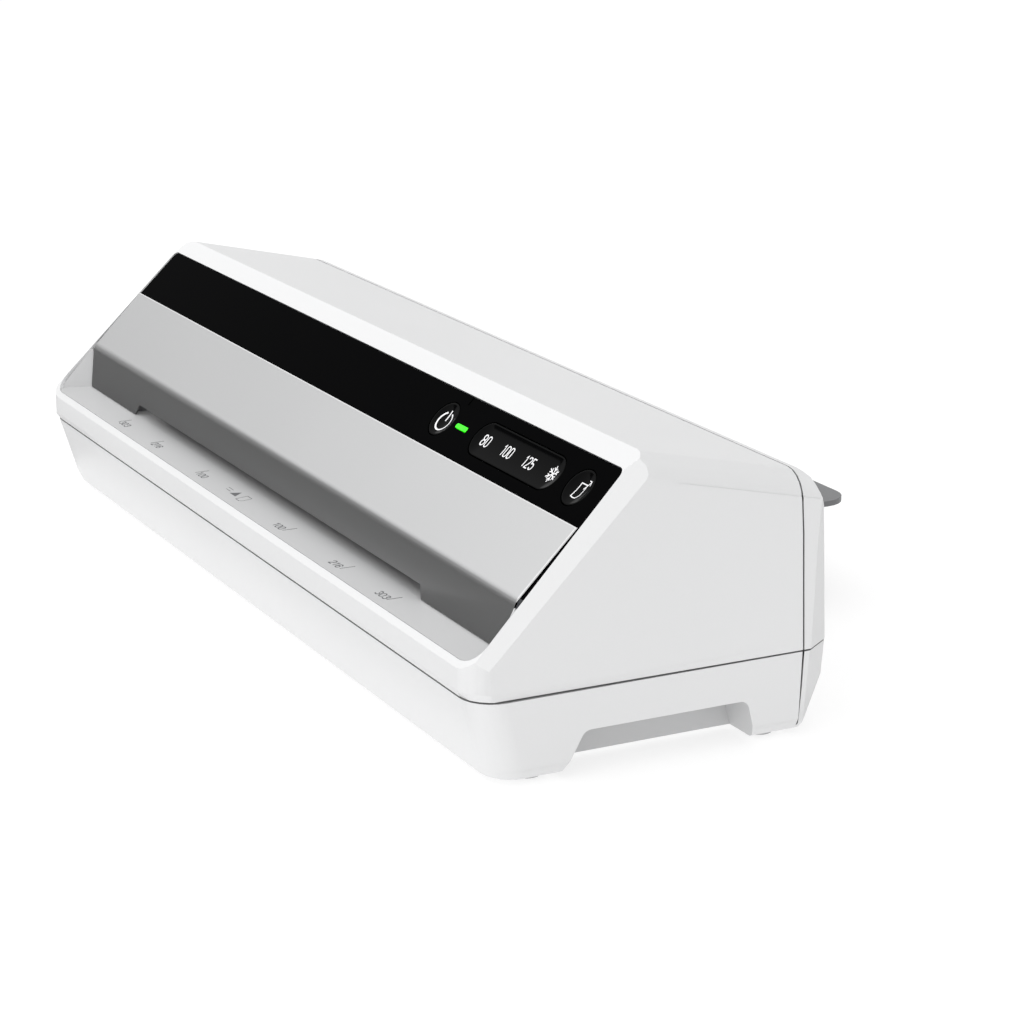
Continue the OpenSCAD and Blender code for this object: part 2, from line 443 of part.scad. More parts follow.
// ---------- heat ----------
module heater_profile() { difference() {
  union() { circle(r = 14.6, $fn = 96); translate([-9, 0]) square([18, 17]); }
  circle(r = 12.4, $fn = 96);
  polygon([[0, 0], [60, 21], [60, -60], [-60, -60], [-60, 21]]);
} }
module heater_shell() { along_x(-167.6, 167.6) heater_profile();
  both() for (y = [-9, 4.4]) translate([167, y, 14.8]) cube([2.9, 4.6, 2.2]); }
module upper_heater_shell() { color("silver") at_yz(hot_y, up_c) heater_shell(); }
module lower_heater_shell() { color("silver") at_yz(hot_y, low_c) mirror([0, 0, 1]) heater_shell(); }
module upper_heating_element() { color("khaki") translate([-150, hot_y - 7, up_c + 17.05]) cube([270, 14, 1.4]); }
module lower_heating_element() { color("khaki") translate([-150, hot_y - 7, low_c - 18.45]) cube([270, 14, 1.4]); }
module thermal_cutout() { color("tan") translate([140, hot_y, up_c + 17.05]) { cylinder(r = 5.4, h = 6);
  for (k = [-1, 1]) translate([k * 3.2 - 1.6, -0.4, 5.5]) cube([3.2, 0.8, 4]); } }
module temperature_sensor() { color("firebrick") translate([-158, hot_y, up_c + 17.05]) { translate([-4, -3, 0]) cube([8, 6, 2]);
  translate([0, 0, 2]) sphere(r = 1.8); } }
module heat_shield() { color("gainsboro") along_x(-169.6, 169.6) polygon([[49.4, 79], [50.4, 79], [54.6, 86.2], [59, 90.6], [117.6, 90.6],
  [123.4, 80], [124.4, 80], [118.2, 91.6], [58.6, 91.6], [53.8, 86.8]]); }

// ---------- sheet guides ----------
module entry_guide() { color([0.15, 0.15, 0.15]) along_x(-163, 163) polygon([[19.4, lip_z + 10], [24, lip_z + 8], [46, lip_z + 6.3],
  [46, lip_z + 8.2], [24.4, lip_z + 10.2], [19.8, lip_z + 12.2]]); }
module centre_guides() { color([0.15, 0.15, 0.15]) {
  along_x(-169.8, 169.8) polygon([[72.6, path_z - 3.4], [74.4, path_z - 2.9], [89.6, path_z - 2.9], [91.4, path_z - 3.4], [90.6, path_z - 1.7], [89, path_z - 1.3], [75, path_z - 1.3], [73.4, path_z - 1.7]]);
  along_x(-169.8, 169.8) polygon([[72.6, path_z + 3.4], [73.4, path_z + 1.7], [75, path_z + 1.3], [89, path_z + 1.3], [90.6, path_z + 1.7], [91.4, path_z + 3.4], [89.6, path_z + 2.9], [74.4, path_z + 2.9]]);
} }
module exit_guide() { color([0.15, 0.15, 0.15]) along_x(-165, 165) polygon([[116.4, path_z - 3.6], [118, path_z - 2.7], [147.2, path_z - 2.7], [147.2, path_z - 4.3], [118, path_z - 4.3]]); }

// ---------- electronics ----------
board_x = [84, 226];
module control_board() { color("darkgreen") on_panel() translate([board_x[0], 1.5, -9.2]) cube([board_x[1] - board_x[0], 23.5, 1.6]); }
module key_switches() { color([0.1, 0.1, 0.1]) on_panel() for (x = concat(key_x, [142, 161.6, 181])) translate([x, key_v, -7.6]) {
  translate([-3, -3, 0]) cube([6, 6, 2.2]); translate([0, 0, 2.1]) cylinder(r = 1.6, h = 0.75); } }
module indicator_leds() { color("mintcream") on_panel() for (x = [114.3, 137, 151.5, 171.3, 191.6])
  translate([x - 1.6, x == 114.3 ? key_v - 1.4 : key_v - 5.4, -7.6]) cube([3.2, 2.8, 1.8]); }
module power_board() { color("darkgreen") { translate([180, 44, 26]) cube([32, 72, 1.6]);
  for (y = [48, 111]) translate([206, y, floor_z + wall + 0.02]) cylinder(r = 2.6, h = 26 - floor_z - wall); } }
module transformer() { color([0.2, 0.2, 0.22]) { translate([183, 86, 27.65]) cube([26, 28, 5]); translate([185, 88, 32.6]) cube([22, 24, 14]);
  translate([187.5, 85.2, 34]) cube([17, 30, 9]); } }
module power_components() { color([0.25, 0.25, 0.6]) { translate([184, 66, 27.65]) cube([12, 15, 15]);
  translate([205, 78.6, 27.65]) cylinder(r = 5, h = 18); translate([205, 68.5, 27.65]) cylinder(r = 4, h = 13);
  translate([183, 47, 27.65]) cube([22, 6, 8]); } }
module ribbon_cable() { color("slategray") along_x(189, 205) polygon([pv(9, -9.3), pv(9, -12.4), [60.2, 88], [60.2, 31], [57.4, 28.4],
  [57.4, 27.65], [61.2, 30.2], [61.2, 88.4], pv(10.4, -12), pv(10.4, -9.3)]); }
module power_inlet() { color([0.08, 0.08, 0.08]) translate([inlet[0], 0, inlet[1]]) {
  difference() {
    union() { along_y(rear_y + 0.05, rear_y + 2) square([31, 24], center = true); along_y(rear_y - 17, rear_y + 0.1) square([27, 19.6], center = true); }
    along_y(rear_y - 14, rear_y + 5) polygon([[-11.4, -7.8], [11.4, -7.8], [11.4, 3.4], [7.2, 7.8], [-7.2, 7.8], [-11.4, 3.4]]);
  }
  for (p = [[-6.5, -1.5], [6.5, -1.5], [0, 2.4]]) along_y(rear_y - 14.1, rear_y - 2.6) translate(p) square([2, 4], center = true);
} }

// ---------- exit tray ----------
module exit_tray() { color("darkgray") {
    translate([0, 0, hinge_z + 0.6]) linear_extrude(tray_t) polygon(rpoly([[-tray_w / 2, hinge_y + 1, 0], [tray_w / 2, hinge_y + 1, 0],
      [tray_w / 2, tray_end, 12], [-tray_w / 2, tray_end, 12]], 6));
    at_yz(hinge_y, hinge_z) rod(3, -tray_w / 2, tray_w / 2);
    at_yz(hinge_y, hinge_z) rod(2, -tray_w / 2 - 6, tray_w / 2 + 6);
    // stiffening ribs under the tray
    for (x = [-84, -42, 0, 42, 84]) translate([x - 1, hinge_y, hinge_z - 1.6]) cube([2, 78, 3]);
} }

place() upper_housing();
place() lower_housing();
place() rear_upper_cover();
place() rear_lower_cover();
place() silver_fascia();
place() control_panel();
place() entry_shelf();
place() status_light();
place() rubber_feet();
place() base_screws();
place() rear_screws();
place() left_side_frame();
place() right_side_frame();
place() tie_bars();
place() frame_screws();
place() lower_roller_bushes();
place() upper_heater_shell();
place() lower_heater_shell();
place() upper_heating_element();
place() lower_heating_element();
place() thermal_cutout();
place() temperature_sensor();
place() heat_shield();
place() entry_guide();
place() centre_guides();
place() exit_guide();
place() motor_bracket();
place() drive_motor();
place() motor_screws();
place() idler_stud();
place() control_board();
place() key_switches();
place() indicator_leds();
place() power_board();
place() transformer();
place() power_components();
place() ribbon_cable();
place() power_inlet();
place() power_button();
place() mode_button();
place() release_button();
place() exit_tray();
place() lower_hot_shaft();
place() lower_hot_sleeve();
place() lower_hot_gear();
place() upper_hot_shaft();
place() upper_hot_sleeve();
place() upper_hot_gear();
place() lower_exit_shaft();
place() lower_exit_sleeve();
place() lower_exit_gear();
place() upper_exit_shaft();
place() upper_exit_sleeve();
place() upper_exit_gear();
place() idler_gear();
place() motor_pinion();
place() upper_hot_bushes();
place() upper_exit_bushes();
place() hot_springs();
place() exit_springs();
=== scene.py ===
import math, random
import bpy, bmesh
from mathutils import Vector, Matrix


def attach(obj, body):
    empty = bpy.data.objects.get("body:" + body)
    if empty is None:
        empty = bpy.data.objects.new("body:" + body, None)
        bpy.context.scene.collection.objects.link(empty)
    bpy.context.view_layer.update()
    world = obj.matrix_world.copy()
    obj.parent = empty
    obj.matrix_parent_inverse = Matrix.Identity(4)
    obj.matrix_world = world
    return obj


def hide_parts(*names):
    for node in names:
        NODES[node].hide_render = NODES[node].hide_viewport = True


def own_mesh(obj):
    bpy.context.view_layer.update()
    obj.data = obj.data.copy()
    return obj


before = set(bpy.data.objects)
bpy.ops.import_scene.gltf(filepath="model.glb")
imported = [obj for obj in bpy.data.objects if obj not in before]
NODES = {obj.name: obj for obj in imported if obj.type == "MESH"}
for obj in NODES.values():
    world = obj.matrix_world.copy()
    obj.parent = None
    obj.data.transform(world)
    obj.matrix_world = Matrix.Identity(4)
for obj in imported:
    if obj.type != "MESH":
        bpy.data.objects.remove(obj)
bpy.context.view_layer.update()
rad = math.radians
YM = 0.122                       # part frame: y = (distance from the lip) - YM
LZ = 0.0485                      # lip height
ANG = rad(44.8)


# ------------------------------------------------------------------ materials
def new_mat(name):
    m = bpy.data.materials.new(name)
    m.use_nodes = True
    nt = m.node_tree
    for n in list(nt.nodes):
        nt.nodes.remove(n)
    out = nt.nodes.new("ShaderNodeOutputMaterial")
    b = nt.nodes.new("ShaderNodeBsdfPrincipled")
    nt.links.new(b.outputs["BSDF"], out.inputs["Surface"])
    return m, nt, b


def noise(nt, scale, detail=3.0, rough=0.55, vec=None, dist=0.0):
    n = nt.nodes.new("ShaderNodeTexNoise")
    n.inputs["Scale"].default_value = scale
    n.inputs["Detail"].default_value = detail
    n.inputs["Roughness"].default_value = rough
    n.inputs["Distortion"].default_value = dist
    if vec is not None:
        nt.links.new(vec, n.inputs["Vector"])
    return n


def coords(nt, scale=(1, 1, 1), rot=(0, 0, 0)):
    tc = nt.nodes.new("ShaderNodeTexCoord")
    mp = nt.nodes.new("ShaderNodeMapping")
    mp.inputs["Scale"].default_value = scale
    mp.inputs["Rotation"].default_value = rot
    nt.links.new(tc.outputs["Object"], mp.inputs["Vector"])
    return mp.outputs["Vector"]


def ramp(nt, fac, stops):
    r = nt.nodes.new("ShaderNodeValToRGB")
    cr = r.color_ramp
    while len(cr.elements) > 1:
        cr.elements.remove(cr.elements[-1])
    cr.elements[0].position, cr.elements[0].color = stops[0][0], (*stops[0][1], 1)
    for p, c in stops[1:]:
        e = cr.elements.new(p)
        e.color = (*c, 1)
    nt.links.new(fac, r.inputs["Fac"])
    return r.outputs["Color"]


def rng(nt, fac, lo, hi):
    m = nt.nodes.new("ShaderNodeMapRange")
    m.inputs["To Min"].default_value = lo
    m.inputs["To Max"].default_value = hi
    nt.links.new(fac, m.inputs["Value"])
    return m.outputs["Result"]


def bump(nt, height, strength, distance, prev=None):
    b = nt.nodes.new("ShaderNodeBump")
    b.inputs["Strength"].default_value = strength
    b.inputs["Distance"].default_value = distance
    nt.links.new(height, b.inputs["Height"])
    if prev is not None:
        nt.links.new(prev, b.inputs["Normal"])
    return b.outputs["Normal"]


def g(c, k):
    return tuple(min(1.0, max(0.0, v * k)) for v in c)


def plastic(name, color, rough=0.42, vary=0.012, grain=2600, grain_s=0.25, wave=60, spec=0.5, coat=0.0, coat_rough=0.1, metal=0.0, rvar=0.05):
    """Moulded plastic: faint tone drift, fine spark-eroded grain, soft flow waviness."""
    m, nt, b = new_mat(name)
    v = coords(nt)
    drift = noise(nt, 7.0, 2.0, 0.5, v)
    fine = noise(nt, grain * 0.45, 2.0, 0.6, v)
    mix = nt.nodes.new("ShaderNodeMix")
    mix.data_type = "FLOAT"
    mix.inputs["Factor"].default_value = 0.35
    nt.links.new(drift.outputs["Fac"], mix.inputs[2])
    nt.links.new(fine.outputs["Fac"], mix.inputs[3])
    nt.links.new(ramp(nt, mix.outputs[0], [(0.25, g(color, 1 - vary * 2)), (0.75, g(color, 1 + vary))]), b.inputs["Base Color"])
    nt.links.new(rng(nt, fine.outputs["Fac"], rough - rvar, rough + rvar), b.inputs["Roughness"])
    grain_n = noise(nt, grain, 2.0, 0.5, v)
    n1 = bump(nt, grain_n.outputs["Fac"], grain_s, 0.00012)
    if wave:
        low = noise(nt, wave, 1.0, 0.4, v)
        n1 = bump(nt, low.outputs["Fac"], 0.06, 0.0006, n1)
    nt.links.new(n1, b.inputs["Normal"])
    b.inputs["Specular IOR Level"].default_value = spec
    b.inputs["Metallic"].default_value = metal
    b.inputs["Coat Weight"].default_value = coat
    b.inputs["Coat Roughness"].default_value = coat_rough
    return m


def brushed(name, color, rough=0.3, along="x", scale=900, metal=1.0, strength=0.2, aniso=0.0):
    m, nt, b = new_mat(name)
    s = {"x": (0.02, 1, 1), "y": (1, 0.02, 1), "z": (1, 1, 0.02)}[along]
    v = coords(nt, s)
    streak = noise(nt, scale, 4.0, 0.65, v)
    cloud = noise(nt, 30, 3.0, 0.5, coords(nt))
    nt.links.new(ramp(nt, streak.outputs["Fac"], [(0.3, g(color, 0.9)), (0.7, g(color, 1.06))]), b.inputs["Base Color"])
    mul = nt.nodes.new("ShaderNodeMath")
    mul.operation = "MULTIPLY_ADD"
    nt.links.new(cloud.outputs["Fac"], mul.inputs[0])
    mul.inputs[1].default_value = 0.14
    mul.inputs[2].default_value = rough - 0.07
    nt.links.new(mul.outputs[0], b.inputs["Roughness"])
    nt.links.new(bump(nt, streak.outputs["Fac"], strength, 0.00008), b.inputs["Normal"])
    b.inputs["Metallic"].default_value = metal
    b.inputs["Anisotropic"].default_value = aniso
    return m


def zinc(name, color=(0.62, 0.63, 0.66)):
    m, nt, b = new_mat(name)
    v = coords(nt)
    vor = nt.nodes.new("ShaderNodeTexVoronoi")
    vor.inputs["Scale"].default_value = 140
    nt.links.new(v, vor.inputs["Vector"])
    n = noise(nt, 420, 4, 0.6, v)
    nt.links.new(ramp(nt, vor.outputs["Color"], [(0.1, g(color, 0.82)), (0.9, g(color, 1.08))]), b.inputs["Base Color"])
    nt.links.new(rng(nt, n.outputs["Fac"], 0.28, 0.52), b.inputs["Roughness"])
    nt.links.new(bump(nt, n.outputs["Fac"], 0.1, 0.0001), b.inputs["Normal"])
    b.inputs["Metallic"].default_value = 1.0
    return m


def board_mat(name):
    m, nt, b = new_mat(name)
    v = coords(nt)
    br = nt.nodes.new("ShaderNodeTexBrick")
    br.inputs["Scale"].default_value = 260
    br.inputs["Color1"].default_value = (0.012, 0.13, 0.045, 1)
    br.inputs["Color2"].default_value = (0.02, 0.17, 0.06, 1)
    br.inputs["Mortar"].default_value = (0.03, 0.24, 0.1, 1)
    br.inputs["Mortar Size"].default_value = 0.03
    nt.links.new(v, br.inputs["Vector"])
    nt.links.new(br.outputs["Color"], b.inputs["Base Color"])
    nt.links.new(bump(nt, br.outputs["Fac"], 0.2, 0.0001), b.inputs["Normal"])
    b.inputs["Roughness"].default_value = 0.3
    return m


M = {}
M["white"] = plastic("white_housing_plastic", (0.78, 0.782, 0.786), rough=0.44, grain=3000, grain_s=0.22, spec=0.4)
# the shelf is drawn in a darker grey than the housing white: painted shade from the silver face and panel above it
M["shelf"] = plastic("shelf_plastic_painted_shade", (0.525, 0.527, 0.531), rough=0.40, grain=3000, grain_s=0.15, spec=0.35)
M["silver"] = plastic("silver_lacquer", (0.75, 0.754, 0.758), rough=0.30, vary=0.02, grain=5200, grain_s=0.0, wave=0, metal=0.92, rvar=0.0)
M["black"] = plastic("piano_black", (0.0018, 0.0018, 0.002), rough=0.07, vary=0.1, grain=900, grain_s=0.01, wave=0, spec=0.003, rvar=0.02)
M["blackkey"] = plastic("black_key", (0.0016, 0.0016, 0.0018), rough=0.10, vary=0.1, grain=900, grain_s=0.01, wave=0, spec=0.03, rvar=0.02)
# a darker white for the walls and roof of the hand holds: painted shade in place of the shade that falls in them
M["recess"] = plastic("recess_painted_shade_plastic", (0.60, 0.602, 0.606), rough=0.5, grain=3000, grain_s=0.22, spec=0.3)
M["gap"] = plastic("seam_shadow_plastic", (0.36, 0.361, 0.364), rough=0.6, grain=3000, grain_s=0.2, spec=0.2)
M["matteblack"] = plastic("black_moulding", (0.02, 0.02, 0.021), rough=0.5, vary=0.05, grain=2200, grain_s=0.3)
M["tray"] = plastic("grey_tray_plastic", (0.15, 0.152, 0.157), rough=0.42, vary=0.03, grain=2600, grain_s=0.35)
M["rubber"] = plastic("foot_rubber", (0.52, 0.522, 0.525), rough=0.75, vary=0.06, grain=1500, grain_s=0.5, spec=0.3)
M["silicone"] = plastic("silicone_roller", (0.42, 0.10, 0.06), rough=0.6, vary=0.05, grain=1400, grain_s=0.5, spec=0.35)
M["gear"] = plastic("acetal_gear", (0.78, 0.75, 0.66), rough=0.35, vary=0.03, grain=1800, grain_s=0.15)
M["bush"] = plastic("bush_plastic", (0.24, 0.13, 0.06), rough=0.5, vary=0.06, grain=1800, grain_s=0.2)
M["film"] = plastic("heating_film", (0.5, 0.32, 0.08), rough=0.3, vary=0.05, grain=1200, grain_s=0.2)
M["ceramic"] = plastic("ceramic", (0.62, 0.52, 0.40), rough=0.6, vary=0.05, grain=1400, grain_s=0.4)
M["blue"] = plastic("capacitor_sleeve", (0.03, 0.05, 0.2), rough=0.3, vary=0.05, grain=1200, grain_s=0.1)
M["led"] = plastic("led_lens", (0.75, 0.8, 0.76), rough=0.15, vary=0.02, grain=1200, grain_s=0.05)
M["ribbon"] = plastic("ribbon_insulation", (0.36, 0.37, 0.39), rough=0.5, vary=0.05, grain=1500, grain_s=0.2)
M["motor"] = plastic("motor_paint", (0.10, 0.105, 0.11), rough=0.4, vary=0.05, grain=1500, grain_s=0.2, metal=0.3)
M["steel"] = brushed("turned_steel", (0.60, 0.60, 0.62), rough=0.25, along="y", scale=1400)
M["screw"] = brushed("screw_steel", (0.42, 0.42, 0.45), rough=0.32, along="z", scale=2200)
M["spring"] = brushed("spring_wire", (0.45, 0.45, 0.47), rough=0.3, along="z", scale=2600)
M["zinc"] = zinc("zinc_sheet")
M["alu"] = brushed("heater_aluminium", (0.72, 0.73, 0.74), rough=0.34, along="x", scale=1100)
M["brass"] = brushed("pinion_brass", (0.72, 0.52, 0.22), rough=0.28, along="x", scale=1800)
M["pcb"] = board_mat("solder_mask")


def light_mat():
    m, nt, b = new_mat("green_light_pipe")
    v = coords(nt)
    n = noise(nt, 500, 2, 0.5, v)
    nt.links.new(ramp(nt, n.outputs["Fac"], [(0.3, (0.02, 0.62, 0.0)), (0.7, (0.06, 0.78, 0.01))]), b.inputs["Base Color"])
    nt.links.new(ramp(nt, n.outputs["Fac"], [(0.3, (0.005, 0.72, 0.0)), (0.7, (0.02, 0.85, 0.0))]), b.inputs["Emission Color"])
    b.inputs["Emission Strength"].default_value = 0.85
    b.inputs["Roughness"].default_value = 0.2
    return m


def ink_mat(name, color, rough=0.5, emit=0.0):
    m, nt, b = new_mat(name)
    v = coords(nt)
    n = noise(nt, 3000, 2, 0.6, v)
    nt.links.new(ramp(nt, n.outputs["Fac"], [(0.3, g(color, 0.93)), (0.7, g(color, 1.03))]), b.inputs["Base Color"])
    nt.links.new(rng(nt, n.outputs["Fac"], rough - 0.06, rough + 0.06), b.inputs["Roughness"])
    nt.links.new(bump(nt, n.outputs["Fac"], 0.1, 0.00003), b.inputs["Normal"])
    # printed marks may be given an emission glow: painted light, not a lamp
    if emit:
        b.inputs["Emission Color"].default_value = (*color, 1)
        b.inputs["Emission Strength"].default_value = emit
    return m


M["light"] = light_mat()
# the white print on the keys glows a little: painted light, not a lamp
M["ink_white"] = ink_mat("panel_ink_painted_glow", (0.82, 0.82, 0.83), emit=0.25)
M["ink_grey"] = ink_mat("shelf_ink", (0.11, 0.113, 0.118))

ASSIGN = {
    "white": ["upper_housing", "lower_housing", "rear_upper_cover", "rear_lower_cover"],
    "shelf": ["entry_shelf"], "silver": ["silver_fascia"], "black": ["control_panel"],
    "blackkey": ["power_button", "mode_button", "release_button"], "light": ["status_light"], "tray": ["exit_tray"],
    "matteblack": ["entry_guide", "centre_guides", "exit_guide", "power_inlet", "key_switches", "transformer"],
    "rubber": ["rubber_feet"], "zinc": ["left_side_frame", "right_side_frame", "motor_bracket", "heat_shield"],
    "steel": ["tie_bars", "idler_stud", "lower_hot_shaft", "upper_hot_shaft", "lower_exit_shaft", "upper_exit_shaft"],
    "screw": ["base_screws", "rear_screws", "frame_screws", "motor_screws"], "spring": ["hot_springs", "exit_springs"],
    "silicone": ["lower_hot_sleeve", "upper_hot_sleeve", "lower_exit_sleeve", "upper_exit_sleeve"],
    "gear": ["lower_hot_gear", "upper_hot_gear", "lower_exit_gear", "upper_exit_gear", "idler_gear"], "brass": ["motor_pinion"],
    "bush": ["lower_roller_bushes", "upper_hot_bushes", "upper_exit_bushes"], "motor": ["drive_motor"],
    "alu": ["upper_heater_shell", "lower_heater_shell"], "film": ["upper_heating_element", "lower_heating_element"],
    "ceramic": ["thermal_cutout", "temperature_sensor"], "pcb": ["control_board", "power_board"], "led": ["indicator_leds"],
    "blue": ["power_components"], "ribbon": ["ribbon_cable"],
}
SLOT = {"white": "white_housing", "shelf": "white_shelf", "silver": "silver_plastic", "black": "black_gloss", "blackkey": "black_gloss",
        "light": "green_light", "tray": "grey_tray"}
for key, names in ASSIGN.items():
    for n in names:
        me = NODES[n].data
        me.materials.clear()
        me.materials.append(M[key])


# ------------------------------------------------------------------ shape helpers
def mesh_object(name, bm, material, smooth=32):
    bm.normal_update()
    for f in bm.faces:
        f.smooth = True
    for e in bm.edges:
        e.smooth = not (len(e.link_faces) != 2 or e.calc_face_angle(0) > rad(smooth))
    me = bpy.data.meshes.new(name)
    bm.to_mesh(me)
    bm.free()
    me.materials.append(material)
    ob = bpy.data.objects.new(name, me)
    bpy.context.scene.collection.objects.link(ob)
    return ob


def settle_normals(ob):
    """Large flat faces keep their own normal and the roundings between them stay smooth."""
    wn_ = ob.modifiers.new("normals", "WEIGHTED_NORMAL")
    wn_.mode = "FACE_AREA"
    wn_.weight = 50
    wn_.keep_sharp = True
    deps = bpy.context.evaluated_depsgraph_get()
    me = bpy.data.meshes.new_from_object(ob.evaluated_get(deps), preserve_all_data_layers=True, depsgraph=deps)
    ob.modifiers.clear()
    old = ob.data
    ob.data = me
    bpy.data.meshes.remove(old)
    me.name = ob.name


def node_bmesh(node):
    bm = bmesh.new()
    bm.from_mesh(NODES[node].data)
    bmesh.ops.remove_doubles(bm, verts=bm.verts, dist=2e-6)
    bmesh.ops.dissolve_limit(bm, angle_limit=rad(0.35), verts=bm.verts, edges=bm.edges)
    return bm


def soften(bm, passes):
    """passes: (offset, segments, test(edge, angle in degrees)), each one rounds the edges that its test picks."""
    for off, seg, test in passes:
        bm.normal_update()
        es = []
        for e in bm.edges:
            if len(e.link_faces) == 2 and e.is_valid:
                a = math.degrees(e.calc_face_angle(0))
                if test(e, a):
                    es.append(e)
        if es:
            bmesh.ops.bevel(bm, geom=es, offset=off, offset_type="OFFSET", segments=seg, profile=0.5, affect="EDGES",
                            clamp_overlap=True, loop_slide=True, material=-1)
    return bm


def convex(e):
    return e.is_convex


def replace_node(node, material, body, passes, smooth=32, gap=None, before=None, after=None):
    bm = node_bmesh(node)
    if before:
        before(bm)
    bm = soften(bm, passes)
    bm.normal_update()
    if gap:
        for f in bm.faces:
            if gap(f):
                f.material_index = 1
    if after:
        after(bm)
    ob = mesh_object(node + "_shell", bm, material, smooth)
    if gap:
        ob.data.materials.append(M["gap"])
    # a third slot: the darker white used as painted shade in recesses
    if after:
        ob.data.materials.append(M["recess"])
    settle_normals(ob)
    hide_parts(node)
    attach(ob, body)
    return ob


SEAM_Z = (0.03425, 0.03495)       # parting line between base and covers
SEAM_Y = (0.137 - YM, 0.1377 - YM)  # parting line of the rear covers


def at_seam(e):
    a, b = e.verts[0].co, e.verts[1].co
    return any(abs(a.z - z) < 3e-5 and abs(b.z - z) < 3e-5 for z in SEAM_Z) or any(abs(a.y - y) < 3e-5 and abs(b.y - y) < 3e-5 for y in SEAM_Y)


def in_gap(f):
    """The seam's own faces, and its rounded edges on the sides and round the back."""
    c, n = f.calc_center_median(), f.normal
    if abs(n.x) > 0.2 and ((0.15 < abs(n.z) < 0.99 and SEAM_Z[0] - 0.0005 < c.z < SEAM_Z[1] + 0.0005 and c.y > 0.014 - YM)
                           or (0.15 < abs(n.y) < 0.99 and SEAM_Y[0] - 0.0005 < c.y < SEAM_Y[1] + 0.0005)):
        return True
    return (any(abs(c.z - z) < 6e-5 for z in SEAM_Z) and abs(f.normal.z) > 0.9) or (any(abs(c.y - y) < 6e-5 for y in SEAM_Y) and abs(f.normal.y) > 0.9)


def shell(amount, limit=28, seg=3):
    return [(amount, seg, lambda e, a: a > limit and e.is_convex and not at_seam(e)), (0.00045, 2, lambda e, a: a > 60 and e.is_convex and at_seam(e))]


PY, PZ = 0.04475 - YM, LZ + 0.04464      # panel origin, at the line between black and silver


def panel_pt(x, v, h):
    """x, v across and up the panel, h out of it, all in millimetres."""
    return Vector((x / 1000, PY + (v * math.cos(ANG) - h * math.sin(ANG)) / 1000, PZ + (v * math.sin(ANG) + h * math.cos(ANG)) / 1000))


# the lower edge of the upper housing turns in all the way round the front corners
CX, CY, CR = 0.2254, 0.0122 - YM, 0.0128


def tuck(bm):
    for co, no in (((0, 0, 0.03795), (0, 0, 1)), ((CX, 0, 0), (1, 0, 0)), ((-CX, 0, 0), (1, 0, 0))):
        bmesh.ops.bisect_plane(bm, geom=list(bm.verts) + list(bm.edges) + list(bm.faces), dist=1e-6, plane_co=co, plane_no=no)
    for v in bm.verts:
        if abs(v.co.z - SEAM_Z[1]) < 4e-5 and v.co.y < CY - 1e-5 and abs(v.co.x) > CX + 1e-5:
            d = Vector((abs(v.co.x) - CX, v.co.y - CY))
            if d.length > CR:
                d = d.normalized() * CR
                v.co.x = math.copysign(CX + d.x, v.co.x)
                v.co.y = CY + d.y


def window_wall(bm):
    """The wall of the window above the panel, given the seam's darker material as painted shade."""
    up = Vector((0, math.cos(ANG), math.sin(ANG)))
    for f in bm.faces:
        c = f.calc_center_median() - Vector((0, PY, PZ))
        if f.material_index == 0 and f.normal.dot(up) < -0.3 and 0.0255 < c.dot(up) < 0.0292 and abs(c.x) < 0.2315:
            f.material_index = 1


def round_corners(ob):
    """The front corners are true roundings: their shading follows the circle, not the facets."""
    me = ob.data
    ns = [n.vector.copy() for n in me.corner_normals]
    for p in me.polygons:
        if abs(p.normal.z) > 0.3 or max(abs(p.normal.x), abs(p.normal.y)) > 0.997:
            continue
        for li in p.loop_indices:
            co = me.vertices[me.loops[li].vertex_index].co
            dx, dy = abs(co.x) - CX, co.y - CY
            if dx < -0.0002 or dy > 0.0002 or math.hypot(dx, dy) < CR - 0.0012:
                continue
            t = math.atan2(max(-dy, 0.0), max(dx, 1e-6))
            t = max(0.0, t - rad(20.7)) / rad(90 - 20.7) * rad(90)
            r = Vector((math.copysign(math.cos(t), co.x), -math.sin(t), 0.0))
            if r.dot(p.normal) <= 0:
                continue
            nz = ns[li].z
            ns[li] = r * math.sqrt(max(0.0, 1 - nz * nz)) + Vector((0, 0, nz))
    me.normals_split_custom_set(ns)


def trim_ends(bm):
    """A narrow gap is left between the silver face and the frame at both ends; its dark look comes partly from the cut
    ends, which are painted black as painted shade.
    """
    for sx in (1, -1):
        g = list(bm.verts) + list(bm.edges) + list(bm.faces)
        bmesh.ops.bisect_plane(bm, geom=g, dist=1e-7, plane_co=(sx * 0.22985, 0, 0), plane_no=(sx, 0, 0), clear_outer=True)
        open_edges = [e for e in bm.edges if len(e.link_faces) == 1]
        bmesh.ops.holes_fill(bm, edges=open_edges, sides=0)
    bm.normal_update()
    rim = [e for e in bm.edges if len(e.link_faces) == 2 and rim_edge(e, math.degrees(e.calc_face_angle(0)))]
    bmesh.ops.bevel(bm, geom=rim, offset=0.00055, offset_type="OFFSET", segments=2, profile=0.5, affect="EDGES",
                    clamp_overlap=False, loop_slide=True, material=-1)


def rim_edge(e, a):
    """The outer edges of the silver face beside the black panel and at its two ends."""
    up, out = Vector((0, math.cos(ANG), math.sin(ANG))), Vector((0, -math.sin(ANG), math.cos(ANG)))
    f, g = e.link_faces
    if f.normal.dot(out) < g.normal.dot(out):
        f, g = g, f
    return a > 60 and e.is_convex and f.normal.dot(out) > 0.97 and (g.normal.dot(up) > 0.9 or abs(g.normal.x) > 0.9)


